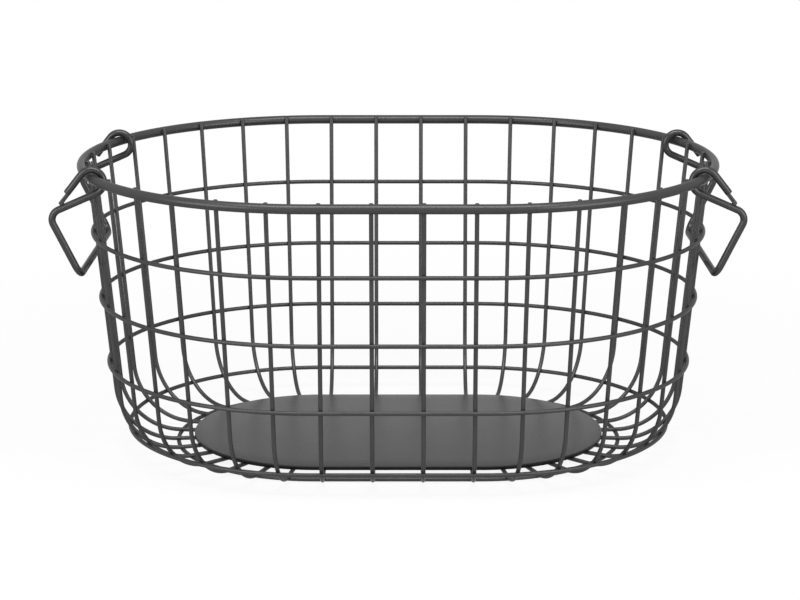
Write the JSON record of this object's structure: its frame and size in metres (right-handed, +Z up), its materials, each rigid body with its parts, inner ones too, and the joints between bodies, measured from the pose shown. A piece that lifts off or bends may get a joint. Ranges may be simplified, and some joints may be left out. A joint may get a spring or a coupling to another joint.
{
  "type": "wire storage basket",
  "caption": "Oval open-top storage basket of dark coated steel wire, with leaning mesh walls, a sheet-metal floor and a loose swing handle hooked over the rim at each end.",
  "frame": {"origin": "on the floor, under the middle of the oval, level with the underside of the base ring", "axes": "+X along the oval's length towards the right handle, -Y out of the long front side, +Z up out of the open top"},
  "size_m": [0.4782, 0.3356, 0.2136],
  "materials": {
    "wire_coat": "dark graphite satin powder coat on steel wire",
    "plate_coat": "dark graphite satin powder coat on sheet steel"
  },
  "bodies": {
    "basket": {"rim_ring": "wire_coat", "wall_ring_1": "wire_coat", "wall_ring_2": "wire_coat", "wall_ring_3": "wire_coat", "wall_ring_4": "wire_coat", "base_ring": "wire_coat", "base_plate": "plate_coat", "upright_01": "wire_coat", "upright_02": "wire_coat", "upright_03": "wire_coat", "upright_04": "wire_coat", "upright_05": "wire_coat", "upright_06": "wire_coat", "upright_07": "wire_coat", "upright_08": "wire_coat", "upright_09": "wire_coat", "upright_10": "wire_coat", "upright_11": "wire_coat", "upright_12": "wire_coat", "upright_13": "wire_coat", "upright_14": "wire_coat", "upright_15": "wire_coat", "upright_16": "wire_coat", "upright_17": "wire_coat", "upright_18": "wire_coat", "upright_19": "wire_coat", "upright_20": "wire_coat", "upright_21": "wire_coat", "upright_22": "wire_coat", "upright_23": "wire_coat", "upright_24": "wire_coat", "upright_25": "wire_coat", "upright_26": "wire_coat", "upright_27": "wire_coat", "upright_28": "wire_coat", "upright_29": "wire_coat", "upright_30": "wire_coat", "upright_31": "wire_coat", "upright_32": "wire_coat", "upright_33": "wire_coat", "upright_34": "wire_coat", "upright_35": "wire_coat", "upright_36": "wire_coat"},
    "left_handle": {"left_handle": "wire_coat", "left_keeper_bar": "wire_coat"},
    "right_handle": {"right_handle": "wire_coat", "right_keeper_bar": "wire_coat"}
  },
  "joints": [
    {"name": "left_handle_swing", "type": "hinge", "parent": "basket", "child": "left_handle", "pos_m": [-0.20649, 0.00498, 0.2026], "axis": [0.0334, 0.9994, 0], "range_deg": [-1, 290]},
    {"name": "right_handle_swing", "type": "hinge", "parent": "basket", "child": "right_handle", "pos_m": [0.20649, 0.00498, 0.2026], "axis": [0.0334, -0.9994, 0], "range_deg": [-1, 290]}
  ]
}
